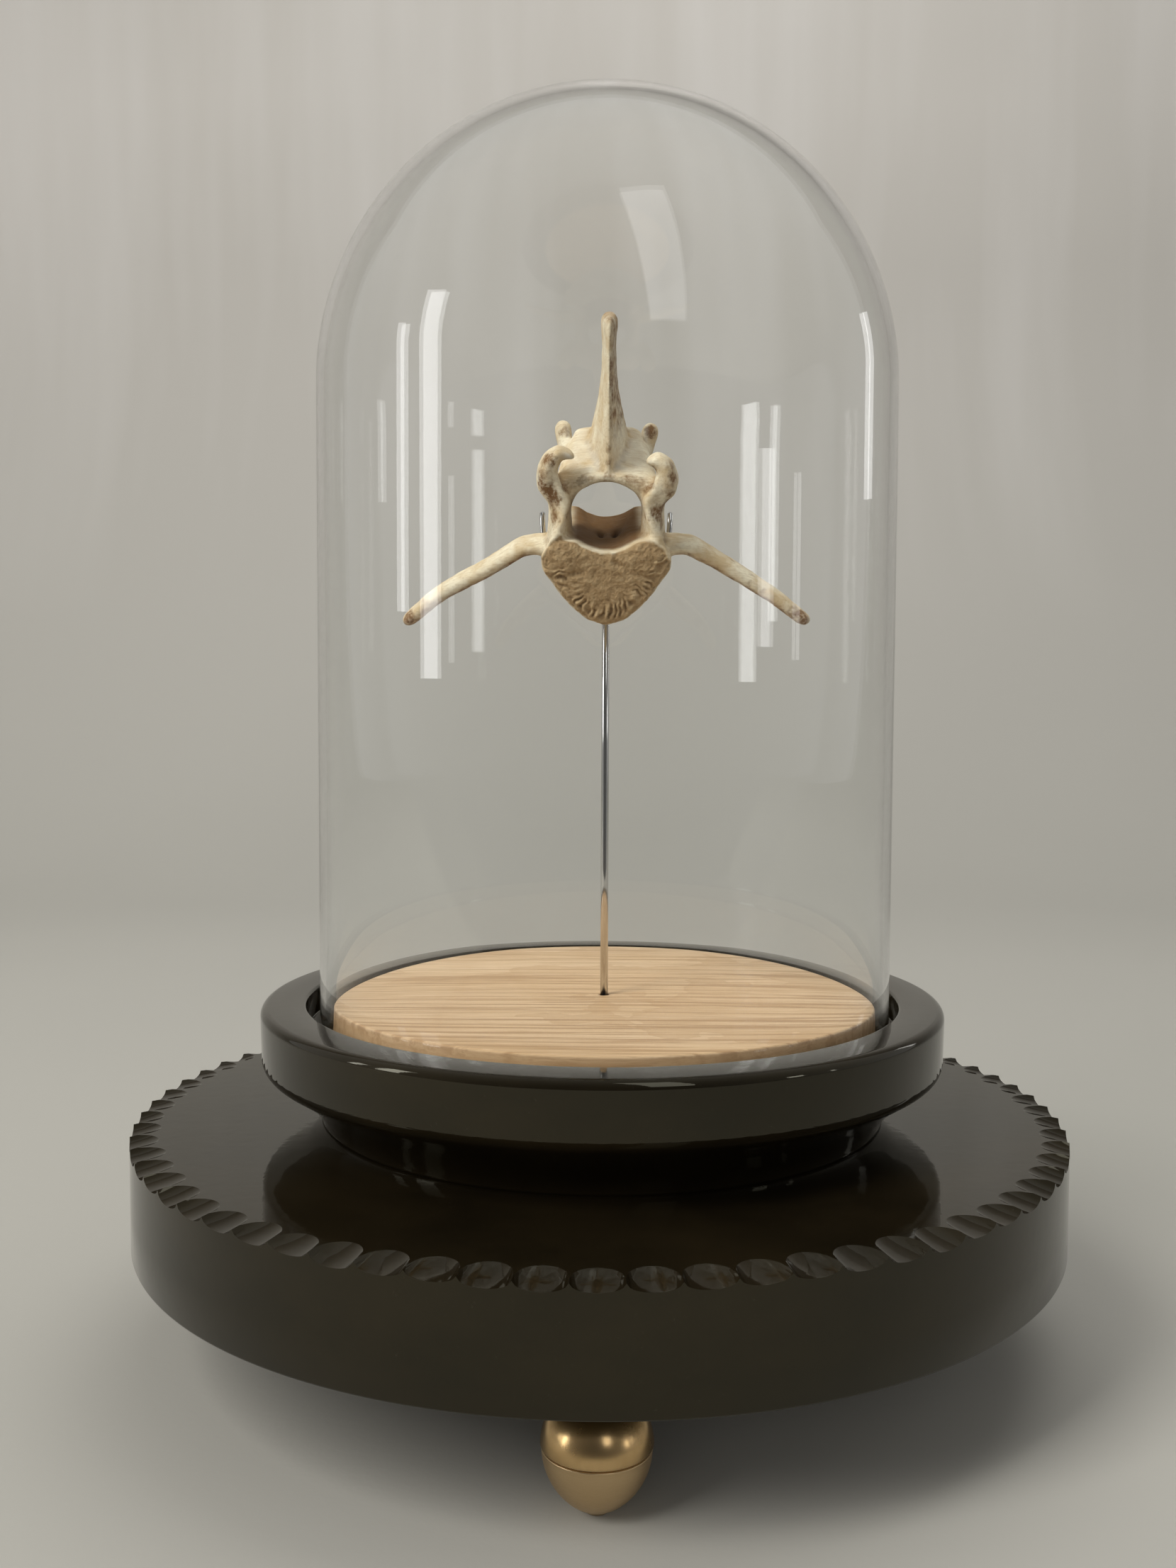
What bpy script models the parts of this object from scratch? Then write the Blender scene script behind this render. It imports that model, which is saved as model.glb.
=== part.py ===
# A deer's lumbar vertebra held on a steel rod under a glass dome. The dome stands in a turned
# black base with a wooden disc, on a black plinth with a carved edge and three brass feet.
# Metres, +Z up, origin on the floor under the middle. The vertebra's cranial end faces -Y.
import math
import random

import bmesh
import bpy
from mathutils import Matrix, Vector

for old in list(bpy.data.objects):
    bpy.data.objects.remove(old, do_unlink=True)

mm = 0.001
gap = 0.3 * mm

# Feet
foot_count = 3
foot_circle = 98.0 * mm
foot_height = 29.0 * mm
foot_radius = 11.6 * mm
foot_ball_radius = 11.6 * mm
foot_ball_z = 14.0 * mm
foot_bowl_radius = 11.3 * mm
foot_neck_radius = 6.4 * mm
foot_flat_radius = 2.3 * mm
foot_seam_z = 14.0 * mm

# Plinth with gouge cuts side by side round its upper edge
plinth_radius = 120.0 * mm
plinth_thickness = 27.0 * mm
plinth_z = foot_height + gap
notch_count = 70
notch_steps = 5
notch_inset = 7.4 * mm
ridge_inset = 1.7 * mm
notch_drop = 2.2 * mm
ridge_drop = 0.3 * mm
edge_break = 0.6 * mm

# Dome base: a turned dish that holds the wooden disc and the dome's rim
base_z = plinth_z + plinth_thickness + gap
base_x = 0.7 * mm
base_radius = 88.9 * mm
base_corner = 2.2 * mm
base_height = 29.4 * mm
foot_ring_radius = 73.6 * mm
dish_radius = 77.3 * mm
dish_depth = 7.0 * mm
dish_z = base_z + base_height - dish_depth

# The disc, dome and rod stand a little to the right of the plinth's middle, under the bone
upper_x = 1.3 * mm
disc_radius = 70.3 * mm
disc_z = dish_z + gap
disc_thickness = 7.3 * mm

dome_radius = 74.5 * mm
dome_wall = 2.2 * mm
dome_z = dish_z + gap
dome_apex_z = 317.5 * mm

rod_radius = 1.0 * mm
rod_hole_clearance = 0.35 * mm
fork_z = 184.6 * mm
fork_radius = 0.75 * mm

# The vertebra has its own frame: x across, s along the body with cranial negative, h dorsal.
# The frame's origin is on the floor of the canal, and it pitches cranial end down.
bone_origin = Vector((1.3 * mm, -7.0 * mm, 206.0 * mm))
bone_pitch = math.radians(20.0)
body_front_s = -16.0
body_back_s = 18.0
bone_voxel = 0.55 * mm
bone_triangles = 7400

objects = bpy.data.collections.new("mounted_lumbar_vertebra")
cutters = bpy.data.collections.new("cutters")
bpy.context.scene.collection.children.link(objects)
bpy.context.scene.collection.children.link(cutters)
stand = bpy.data.objects.new("stand", None)
objects.objects.link(stand)


def material(name, colour, roughness, metallic=0.0, transmission=0.0):
    made = bpy.data.materials.new(name)
    made.use_nodes = True
    shader = made.node_tree.nodes["Principled BSDF"]
    shader.inputs["Base Color"].default_value = (*colour, 1.0)
    shader.inputs["Roughness"].default_value = roughness
    shader.inputs["Metallic"].default_value = metallic
    shader.inputs["Transmission Weight"].default_value = transmission
    return made


brass = material("brass", (0.46, 0.36, 0.22), 0.22, metallic=1.0)
black_lacquer = material("black_lacquer", (0.012, 0.011, 0.011), 0.12)
pale_wood = material("pale_wood", (0.74, 0.58, 0.40), 0.45)
clear_glass = material("clear_glass", (0.95, 0.97, 0.97), 0.03, transmission=1.0)
steel = material("steel", (0.62, 0.63, 0.65), 0.12, metallic=1.0)
bone = material("bone", (0.62, 0.53, 0.40), 0.6)


def add(name, mesh, paint=None, collection=objects, parent=stand):
    obj = bpy.data.objects.new(name, mesh)
    collection.objects.link(obj)
    if paint:
        mesh.materials.append(paint)
    obj.parent = parent
    return obj


def turned(name, profile, paint, steps, closed=False):
    """A profile of (radius, height) points, run down its outer side, spun round Z."""
    edges = [(i, i + 1) for i in range(len(profile) - 1)]
    if closed:
        edges.append((len(profile) - 1, 0))
    mesh = bpy.data.meshes.new(name)
    mesh.from_pydata([(r, 0.0, z) for r, z in profile], edges, [])
    obj = add(name, mesh, paint)
    screw = obj.modifiers.new("Spin", "SCREW")
    screw.axis = "Z"
    screw.angle = math.tau
    screw.steps = steps
    screw.render_steps = steps
    screw.use_merge_vertices = True
    screw.merge_threshold = 0.00001
    screw.use_smooth_shade = True
    return obj


def arc(centre_r, centre_z, radius_r, radius_z, start, end, count):
    """Points on an ellipse's arc, angles in degrees from +R towards +Z."""
    points = []
    for i in range(count + 1):
        angle = math.radians(start + (end - start) * i / count)
        points.append((centre_r + radius_r * math.cos(angle), centre_z + radius_z * math.sin(angle)))
    return points


def as_mesh(obj, name):
    """The evaluated shape of an object, welded, in place of the object."""
    bpy.context.view_layer.update()
    graph = bpy.context.evaluated_depsgraph_get()
    mesh = bpy.data.meshes.new_from_object(obj.evaluated_get(graph))
    mesh.transform(obj.matrix_world)
    mesh.name = name
    bm = bmesh.new()
    bm.from_mesh(mesh)
    bmesh.ops.remove_doubles(bm, verts=bm.verts, dist=0.000001)
    bmesh.ops.recalc_face_normals(bm, faces=bm.faces)
    bm.to_mesh(mesh)
    bm.free()
    bpy.data.objects.remove(obj, do_unlink=True)
    return mesh


def keep_largest(mesh):
    """Leaves only the closed surface with the most faces."""
    bm = bmesh.new()
    bm.from_mesh(mesh)
    todo = set(bm.verts)
    islands = []
    while todo:
        stack = [todo.pop()]
        island = set(stack)
        while stack:
            for edge in stack.pop().link_edges:
                for vert in edge.verts:
                    if vert in todo:
                        todo.remove(vert)
                        island.add(vert)
                        stack.append(vert)
        islands.append(island)
    islands.sort(key=len)
    for island in islands[:-1]:
        bmesh.ops.delete(bm, geom=list(island), context="VERTS")
    bm.to_mesh(mesh)
    bm.free()


def join_pieces(name, pieces, cutter=None):
    """One union of closed pieces, less the cutter, as a mesh. The pieces are removed."""
    first, others = pieces[0], pieces[1:]
    group = bpy.data.collections.new(name + "_pieces")
    bpy.context.scene.collection.children.link(group)
    for piece in others:
        for holder in list(piece.users_collection):
            holder.objects.unlink(piece)
        group.objects.link(piece)
    union = first.modifiers.new("Join", "BOOLEAN")
    union.operation = "UNION"
    union.operand_type = "COLLECTION"
    union.collection = group
    union.solver = "EXACT"
    if cutter:
        cut = first.modifiers.new("Cut", "BOOLEAN")
        cut.operation = "DIFFERENCE"
        cut.object = cutter
    mesh = as_mesh(first, name)
    for piece in others:
        bpy.data.objects.remove(piece, do_unlink=True)
    bpy.data.collections.remove(group)
    keep_largest(mesh)
    return mesh


# Feet: a polished upper ball and a slightly smaller satin bowl that meet in a seam
def foot_profile():
    points = [(0.0, foot_height), (foot_neck_radius, foot_height)]
    for up in (9.6, 8.0, 5.8, 3.2, 0.4):
        points.append((math.sqrt(foot_ball_radius ** 2 - (up * mm) ** 2), foot_ball_z + up * mm))
    points += [(foot_radius - 0.7 * mm, foot_seam_z), (foot_radius - 0.1 * mm, foot_seam_z - 0.5 * mm)]
    # The bowl draws in faster than a sphere does, down to a small flat
    bowl_height = foot_seam_z - 0.5 * mm
    for down in (0.12, 0.3, 0.48, 0.66, 0.82, 0.94):
        points.append((foot_bowl_radius * (1.0 - down * down) ** 0.62, bowl_height * (1.0 - down)))
    points += [(foot_flat_radius, 0.0), (0.0, 0.0)]
    return points


foot_names = ["foot_front", "foot_back_right", "foot_back_left"]
for i in range(foot_count):
    angle = math.radians(-90.0 + 360.0 / foot_count * i)
    foot = turned(foot_names[i], foot_profile(), brass, 24)
    foot.location = (foot_circle * math.cos(angle), foot_circle * math.sin(angle), 0.0)


# Plinth: rings of points, with the two upper rings drawn in and down by each gouge cut
def plinth_mesh():
    rng = random.Random(70)
    cuts = [(rng.uniform(0.86, 1.12), rng.uniform(0.84, 1.14)) for _ in range(notch_count)]
    top_z = plinth_z + plinth_thickness
    spots = [-1.0, -0.72, -0.26, 0.26, 0.72]
    bm = bmesh.new()
    rings = [[], [], [], []]
    for notch in range(notch_count):
        inset, drop = cuts[notch]
        for spot in spots[:notch_steps]:
            angle = math.tau * (notch + 0.5 * (spot + 1.0)) / notch_count
            depth = math.sqrt(1.0 - spot * spot)
            out = Vector((math.cos(angle), math.sin(angle), 0.0))
            in_by = ridge_inset + (notch_inset - ridge_inset) * depth * inset
            down_by = ridge_drop + (notch_drop - ridge_drop) * depth * drop
            rings[0].append(bm.verts.new(out * (plinth_radius - edge_break) + Vector((0, 0, plinth_z))))
            rings[1].append(bm.verts.new(out * plinth_radius + Vector((0, 0, plinth_z + edge_break))))
            rings[2].append(bm.verts.new(out * plinth_radius + Vector((0, 0, top_z - down_by))))
            rings[3].append(bm.verts.new(out * (plinth_radius - in_by) + Vector((0, 0, top_z))))
    count = len(rings[0])
    for lower, upper in zip(rings, rings[1:]):
        for i in range(count):
            j = (i + 1) % count
            bm.faces.new((lower[i], lower[j], upper[j], upper[i]))
    for ring, z, turn in ((rings[0], plinth_z, 1), (rings[3], top_z, -1)):
        centre = bm.verts.new((0.0, 0.0, z))
        for i in range(count):
            j = (i + 1) % count
            bm.faces.new((centre, ring[j], ring[i]) if turn > 0 else (centre, ring[i], ring[j]))
    mesh = bpy.data.meshes.new("plinth")
    bm.to_mesh(mesh)
    bm.free()
    return mesh


plinth = add("plinth", plinth_mesh(), black_lacquer)

# Dome base
base_top = base_z + base_height
base_profile = [(0.0, dish_z), (dish_radius, dish_z), (dish_radius, base_top - 0.8 * mm)]
base_profile += [(dish_radius + 0.8 * mm, base_top)]
base_profile += arc(base_radius - base_corner, base_top - base_corner, base_corner, base_corner, 85.0, 0.0, 6)
base_profile += arc(base_radius - 4.6 * mm, base_z + 16.4 * mm, 4.4 * mm, 3.8 * mm, 0.0, -50.0, 3)
base_profile += [(foot_ring_radius + 6.4 * mm, base_z + 8.6 * mm), (foot_ring_radius + 2.6 * mm, base_z + 4.6 * mm)]
base_profile += [(foot_ring_radius + 0.5 * mm, base_z + 1.6 * mm), (foot_ring_radius, base_z), (0.0, base_z)]
dome_base = turned("dome_base", base_profile, black_lacquer, 64)
dome_base.location.x = base_x

# Wooden disc, bored for the rod
bore = rod_radius + rod_hole_clearance
disc_top = disc_z + disc_thickness
disc_profile = [
    (bore, disc_top),
    (disc_radius - 0.5 * mm, disc_top),
    (disc_radius, disc_top - 0.5 * mm),
    (disc_radius, disc_z),
    (bore, disc_z),
]
wood_disc = turned("wood_disc", disc_profile, pale_wood, 56, closed=True)
wood_disc.location.x = upper_x

# Glass dome, open below
inner_radius = dome_radius - dome_wall
shoulder_z = dome_apex_z - dome_radius
dome_profile = [(0.0, dome_apex_z)]
dome_profile += arc(0.0, shoulder_z, dome_radius, dome_radius, 79.0, 0.0, 7)
dome_profile += [(dome_radius, dome_z), (inner_radius, dome_z)]
dome_profile += arc(0.0, shoulder_z, inner_radius, inner_radius, 0.0, 79.0, 7)
dome_profile += [(0.0, dome_apex_z - dome_wall)]
glass_dome = turned("glass_dome", dome_profile, clear_glass, 48)
glass_dome.location.x = upper_x


def tube(name, points, radius, kind="POLY"):
    """A round bar along points, with closed ends."""
    curve = bpy.data.curves.new(name, "CURVE")
    curve.dimensions = "3D"
    curve.bevel_depth = radius
    curve.bevel_resolution = 2
    curve.resolution_u = 3
    curve.use_fill_caps = True
    spline = curve.splines.new(kind)
    spline.points.add(len(points) - 1)
    for point, place in zip(spline.points, points):
        point.co = (*place, 1.0)
    if kind == "NURBS":
        spline.order_u = 4
        spline.use_endpoint_u = True
    obj = bpy.data.objects.new(name, curve)
    cutters.objects.link(obj)
    return obj


# Rod, screwed into the disc, with a thin fork that hugs the waist of the bone from behind
def fork_path():
    right = [(2.4, 0.4, 1.8), (7.4, 1.6, 6.8), (12.4, 3.4, 12.4), (15.9, 4.6, 18.6), (17.0, 4.8, 23.4)]
    right.append((16.9, 4.4, 28.6))
    left = [(-x, y, z) for x, y, z in reversed(right)]
    path = []
    for x, y, z in left + [(0.0, 0.0, -1.4)] + right:
        path.append((x * mm + upper_x, y * mm, z * mm + fork_z))
    return path


stem = tube("stem", [(upper_x, 0.0, disc_z), (upper_x, 0.0, fork_z)], rod_radius)
fork = tube("fork", fork_path(), fork_radius, "NURBS")
rod_pieces = [add(piece.name, as_mesh(piece, piece.name), None, cutters) for piece in (stem, fork)]
rod = add("rod", join_pieces("rod", rod_pieces), steel)

# Vertebra. Every size below is in millimetres in the bone's own frame.
bone_frame = Matrix.Translation(bone_origin) @ Matrix.Rotation(bone_pitch, 4, "X") @ Matrix.Scale(mm, 4)
bone_pieces = []


def bone_piece(bm, name):
    mesh = bpy.data.meshes.new(name)
    bmesh.ops.recalc_face_normals(bm, faces=bm.faces)
    bm.to_mesh(mesh)
    bm.free()
    mesh.transform(bone_frame)
    obj = add(name, mesh, None, cutters, None)
    bone_pieces.append(obj)
    return obj


def hull(name, points):
    bm = bmesh.new()
    for point in points:
        bm.verts.new(point)
    made = bmesh.ops.convex_hull(bm, input=bm.verts)
    spare = {v for v in made["geom_interior"] + made["geom_unused"] if isinstance(v, bmesh.types.BMVert)}
    bmesh.ops.delete(bm, geom=list(spare), context="VERTS")
    return bone_piece(bm, name)


def egg(place, size):
    """Points on an ellipsoid at (x, s, h) with half sizes (x, s, h)."""
    bm = bmesh.new()
    bmesh.ops.create_icosphere(bm, subdivisions=2, radius=1.0)
    points = [Vector(place) + Vector((v.co.x * size[0], v.co.y * size[1], v.co.z * size[2])) for v in bm.verts]
    bm.free()
    return points


def strand(name, stations):
    """A limb of bone: hulls over each pair of neighbouring ellipsoids."""
    for i, (near, far) in enumerate(zip(stations, stations[1:])):
        hull(f"{name}_{i}", egg(*near) + egg(*far))


def smooth_between(table, at):
    """The value at a place in a table of (place, value, value...), eased between its rows."""
    for low, high in zip(table, table[1:]):
        if at <= high[0]:
            t = max(0.0, (at - low[0]) / (high[0] - low[0]))
            t = t * t * (3.0 - 2.0 * t)
            return [a + (b - a) * t for a, b in zip(low[1:], high[1:])]
    return list(table[-1][1:])


# Body: a loft of heart-shaped sections, waisted, with a keel below the waist
half_outline = [
    (0.0, -0.4), (4.0, 1.0), (7.5, 2.4), (11.0, 2.8), (13.8, 1.6), (15.7, -1.2), (15.4, -4.9),
    (13.0, -8.0), (10.9, -11.1), (8.0, -14.3), (4.6, -17.0), (0.0, -18.5),
]
body_sizes = [
    # s, width, height, keel, lift of the upper rim
    (body_front_s, 1.02, 1.03, 0.0, 0.0),
    (-14.2, 1.05, 1.06, 0.0, 0.0),
    (-11.5, 0.98, 1.0, 0.1, 0.0),
    (-1.0, 0.76, 0.84, 0.5, 0.0),
    (5.0, 0.76, 0.84, 0.5, 0.2),
    (14.0, 0.92, 0.93, 0.1, 1.4),
    (body_back_s - 1.0, 0.97, 0.95, 0.0, 1.8),
    (body_back_s, 0.95, 0.93, 0.0, 1.8),
]


def body_ring(s, shrink=1.0):
    width, height, keel, lift = smooth_between(body_sizes, s)
    ring = []
    for x, h in half_outline + [(-x, h) for x, h in half_outline[-2:0:-1]]:
        low = max(0.0, -h / 18.5)
        x *= width * (1.0 - 0.42 * keel * low)
        h = h * height + lift * max(0.0, min(1.0, 1.0 + h / 6.0))
        ring.append((x * shrink, s, (h + 7.5) * shrink - 7.5))
    return ring


def body():
    stations = [body_front_s + (body_back_s - body_front_s) * i / 16 for i in range(17)]
    rings = [[(0.0, body_front_s - 0.7, -7.5)], body_ring(body_front_s, 0.6)]
    rings[1] = [(x, s - 0.5, h) for x, s, h in rings[1]]
    rings += [body_ring(s) for s in stations]
    rings += [[(x, s - 0.9, h) for x, s, h in body_ring(body_back_s, 0.7)]]
    rings += [[(0.0, body_back_s - 1.8, -7.5)]]
    bm = bmesh.new()
    made = [[bm.verts.new(point) for point in ring] for ring in rings]
    for near, far in zip(made, made[1:]):
        wide = max(len(near), len(far))
        for i in range(wide):
            corners = [near[i % len(near)], near[(i + 1) % len(near)], far[(i + 1) % len(far)], far[i % len(far)]]
            bm.faces.new(list(dict.fromkeys(corners)))
    bone_piece(bm, "body")


body()

# Pedicles, one each side, from the body's upper corners to the arch
for side in (-1.0, 1.0):
    strand("pedicle", [
        ((12.0 * side, -5.0, -2.0), (3.2, 9.0, 3.2)),
        ((11.6 * side, -5.8, 6.0), (3.1, 8.0, 3.0)),
        ((11.4 * side, -6.0, 12.0), (3.2, 7.6, 2.8)),
    ])
    strand("arch", [
        ((11.0 * side, -4.0, 10.0), (2.8, 6.4, 2.8)),
        ((8.8 * side, -2.6, 14.6), (2.8, 6.0, 2.6)),
        ((4.4 * side, -0.6, 17.6), (2.8, 6.0, 2.0)),
    ])
    strand("arch_rim", [
        ((10.2 * side, -8.2, 9.4), (1.5, 1.7, 1.5)),
        ((9.3 * side, -8.2, 12.2), (1.5, 1.7, 1.5)),
        ((7.6 * side, -8.2, 14.3), (1.5, 1.6, 1.4)),
        ((4.8 * side, -8.2, 15.8), (1.4, 1.5, 1.3)),
        ((1.8 * side, -8.2, 16.6), (1.4, 1.4, 1.1)),
    ])

# A crest runs from each cranial articular process to the canal's upper corner and on down the
# front of the pedicle to the body's upper lobe
for side, drop in ((-1.0, 0.0), (1.0, 0.9)):
    strand("crest", [
        ((12.9 * side, -11.6, 18.2 - drop), (1.1, 2.0, 1.2)),
        ((11.9 * side, -12.2, 14.8 - 0.5 * drop), (1.2, 2.0, 1.2)),
        ((9.6 * side, -12.0, 11.5), (1.1, 2.2, 1.2)),
        ((10.9 * side, -13.2, 7.0), (1.2, 2.2, 1.3)),
        ((13.0 * side, -14.0, 2.4), (1.4, 2.0, 1.4)),
    ])

# Lamina: two plates that meet at the midline, thin at the front edge and rising to the back
for side in (-1.0, 1.0):
    front = egg((9.8 * side, -7.4, 15.4), (2.2, 1.7, 1.4)) + egg((0.2, -8.4, 16.5), (1.6, 1.1, 1.0))
    back = egg((7.0 * side + 0.3, 13.5, 22.6), (2.1, 2.4, 2.7)) + egg((0.3, 14.0, 22.8), (2.0, 2.6, 3.2))
    hull("lamina", front + back)
    under = egg((7.4 * side, -3.0, 16.6), (2.0, 2.4, 1.2)) + egg((0.2, -2.0, 17.2), (2.0, 2.0, 1.0))
    under += egg((6.6 * side, 12.4, 19.4), (2.2, 2.4, 1.8)) + egg((0.2, 13.4, 20.2), (2.0, 2.2, 2.0))
    hull("lamina_under", under)
    strand("lamina_edge", [
        ((10.8 * side, -7.0, 14.4), (2.4, 3.4, 1.9)),
        ((9.6 * side, 6.0, 18.6), (1.8, 4.0, 2.2)),
    ])

# Spinous process: a plate with a sharp cranial edge, thickest near its back and at its tip
spine_x = 0.5
spine_sizes = [
    # h, front s, back s, half thickness, how late it widens
    (16.6, -9.2, 13.0, 5.2, 2.2),
    (22.0, -8.9, 15.4, 5.0, 2.0),
    (26.0, -8.7, 16.0, 4.6, 1.7),
    (30.0, -8.6, 15.8, 3.6, 1.4),
    (34.5, -8.5, 15.0, 2.6, 1.2),
    (41.0, -8.6, 13.4, 1.85, 1.0),
    (48.0, -9.0, 11.6, 1.8, 1.0),
    (51.0, -9.4, 10.8, 2.0, 0.8),
    (53.2, -9.0, 10.2, 2.1, 0.7),
    (54.6, -7.4, 8.6, 1.1, 0.7),
]


def spine_section(h, front, back, half, late):
    length = back - front
    shape = [(0.06, 0.0), (0.55, 0.14), (0.86, 0.40), (1.0, 0.66), (0.9, 0.88), (0.45, 1.0)]
    return [(spine_x + side * half * w**late, front + length * t, h) for w, t in shape for side in (-1.0, 1.0)]


for i, (low, high) in enumerate(zip(spine_sizes, spine_sizes[1:])):
    hull(f"spine_{i}", spine_section(*low) + spine_section(*high))

# Caudal articular processes: upright knobs at the back corners of the arch
for side, low_x, low_h, knob_h in ((-1.0, 10.6, 19.4, 23.8), (1.0, 10.0, 18.6, 23.2)):
    strand("caudal_process", [
        ((8.8 * side, 9.0, 19.6), (2.2, 3.6, 2.4)),
        ((low_x * side, 15.5, low_h), (2.0, 3.4, 2.6)),
        ((11.5 * side, 18.6, knob_h), (2.4, 3.5, 2.6)),
    ])

# Cranial articular processes: thick walls that curl inwards over a gutter
for side, drop, spread in ((-1.0, 0.0, 0.0), (1.0, 1.7, 0.4)):
    strand("cranial_process", [
        ((12.2 * side, -7.5, 12.0 - 0.2 * drop), (2.7, 5.5, 2.6)),
        (((14.7 + 0.2 * spread) * side, -8.5, 15.2 - 0.6 * drop), (2.7, 5.4, 2.5)),
        (((14.7 + spread) * side, -9.2, 18.6 - drop), (2.7, 5.9, 2.6)),
        (((13.6 + 1.6 * spread) * side, -9.6, 21.5 - drop), (2.4, 5.4, 2.4)),
        (((11.8 + 2.2 * spread) * side, -9.8, 23.3 - drop), (1.8, 4.6, 1.8)),
        (((9.8 + 3.0 * spread) * side, -9.8, 22.9 - 0.9 * drop), (1.3, 3.8, 1.25)),
        (((8.5 + 4.0 * spread) * side, -9.6, 22.1 - 0.7 * drop), (0.8, 3.0, 0.8)),
    ])

# Transverse processes: long flat blades that curve outwards and down, drawn a little forwards
for side, drop in ((-1.0, 0.0), (1.0, 0.35)):
    strand("transverse_process", [
        ((11.5 * side, -3.0, -2.6), (3.0, 7.6, 3.6)),
        ((17.2 * side, -2.2, -1.2), (2.6, 6.6, 2.5)),
        ((21.5 * side, -2.4, -1.5), (2.2, 5.6, 1.9)),
        ((28.4 * side, -3.2, -4.9 - drop), (2.2, 4.9, 1.5)),
        ((36.0 * side, -4.3, -9.3 - drop), (2.2, 4.4, 1.15)),
        ((43.5 * side, -5.6, -14.1 - 0.4 * drop), (2.0, 3.9, 1.0)),
        ((50.9 * side, -7.0, -20.3 + 1.6 * drop), (1.6, 3.0, 0.95)),
    ])

# Canal: a tunnel, flared at the cranial end
canal_sizes = [
    # s, half width, half height, middle h
    (-24.0, 10.9, 8.4, 7.4),
    (-15.0, 10.0, 7.9, 7.6),
    (-9.0, 9.1, 7.9, 7.7),
    (4.0, 8.7, 7.8, 8.0),
    (18.0, 9.6, 7.9, 9.2),
    (26.0, 9.8, 7.9, 9.6),
]
bm = bmesh.new()
rings = []
for i in range(26):
    s = -24.0 + 2.0 * i
    half_width, half_height, middle = smooth_between(canal_sizes, s)
    turns = [math.tau * k / 32 for k in range(32)]
    rings.append([bm.verts.new((half_width * math.cos(a), s, middle + half_height * math.sin(a))) for a in turns])
for near, far in zip(rings, rings[1:]):
    for k in range(32):
        bm.faces.new((near[k], near[(k + 1) % 32], far[(k + 1) % 32], far[k]))
bm.faces.new(rings[0])
bm.faces.new(rings[-1])
canal = bone_piece(bm, "canal")
bone_pieces.remove(canal)
canal.hide_render = True
canal.display_type = "WIRE"

vertebra = add("vertebra", join_pieces("vertebra_union", bone_pieces, canal), bone)
remesh = vertebra.modifiers.new("Fuse", "REMESH")
remesh.mode = "VOXEL"
remesh.voxel_size = bone_voxel
smooth = vertebra.modifiers.new("Ease", "SMOOTH")
smooth.factor = 0.5
smooth.iterations = 5
fused = as_mesh(vertebra, "vertebra")
keep_largest(fused)
vertebra = add("vertebra", fused, bone)
thin = vertebra.modifiers.new("Thin", "DECIMATE")
thin.ratio = bone_triangles / (2.0 * len(fused.polygons))

for obj in (plinth, vertebra, rod):
    obj.data.shade_smooth()
    obj.data.set_sharp_from_angle(angle=math.radians(35.0))
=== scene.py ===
# A deer's lumbar vertebra on a steel rod under a glass dome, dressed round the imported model.
import math
import random

import bmesh
import bpy
import numpy as np
from mathutils import Matrix, Vector, noise


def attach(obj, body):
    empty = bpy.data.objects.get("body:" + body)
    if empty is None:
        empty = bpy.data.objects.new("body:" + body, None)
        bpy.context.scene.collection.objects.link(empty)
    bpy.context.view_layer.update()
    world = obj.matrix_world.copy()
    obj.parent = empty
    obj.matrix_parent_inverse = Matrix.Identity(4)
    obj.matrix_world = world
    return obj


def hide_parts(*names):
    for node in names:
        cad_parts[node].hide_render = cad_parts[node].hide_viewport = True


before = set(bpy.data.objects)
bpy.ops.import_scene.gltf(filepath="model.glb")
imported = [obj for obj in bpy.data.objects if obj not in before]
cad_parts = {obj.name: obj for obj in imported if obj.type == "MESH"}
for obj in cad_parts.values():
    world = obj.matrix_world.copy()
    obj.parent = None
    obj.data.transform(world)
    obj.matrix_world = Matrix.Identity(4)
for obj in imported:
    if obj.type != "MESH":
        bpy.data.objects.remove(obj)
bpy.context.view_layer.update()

mm = 0.001
scene = bpy.context.scene
scene.view_settings.view_transform = "Standard"


def smoothStep(low, high, value):
    t = np.clip((value - low) / (high - low), 0.0, 1.0)
    return t * t * (3.0 - 2.0 * t)


def makePiece(name, bm, material, replaced):
    mesh = bpy.data.meshes.new(name)
    bm.to_mesh(mesh)
    bm.free()
    mesh.polygons.foreach_set("use_smooth", [True] * len(mesh.polygons))
    mesh.materials.append(material)
    piece = bpy.data.objects.new(name, mesh)
    scene.collection.objects.link(piece)
    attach(piece, "root")
    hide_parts(*replaced)
    print("piece:", name, len(mesh.polygons), "faces")


def spinProfile(profile, steps, closed=False):
    bm = bmesh.new()
    verts = [bm.verts.new((r, 0.0, z)) for r, z in profile]
    pairs = list(zip(verts, verts[1:]))
    if closed:
        pairs.append((verts[-1], verts[0]))
    edges = [bm.edges.new(pair) for pair in pairs]
    bmesh.ops.spin(bm, geom=verts + edges, cent=(0, 0, 0), axis=(0, 0, 1), dvec=(0, 0, 0), angle=math.tau,
                   steps=steps, use_merge=True, use_normal_flip=False, use_duplicate=False)
    bmesh.ops.remove_doubles(bm, verts=bm.verts, dist=1e-7)
    bmesh.ops.recalc_face_normals(bm, faces=bm.faces)
    return bm


def moveOver(bm, x, y=0.0):
    bmesh.ops.translate(bm, verts=bm.verts, vec=(x * mm, y * mm, 0.0))


def arcPoints(centreR, centreZ, radiusR, radiusZ, start, end, count):
    turns = [math.radians(start + (end - start) * i / count) for i in range(count + 1)]
    return [(centreR + radiusR * math.cos(a), centreZ + radiusZ * math.sin(a)) for a in turns]


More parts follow.
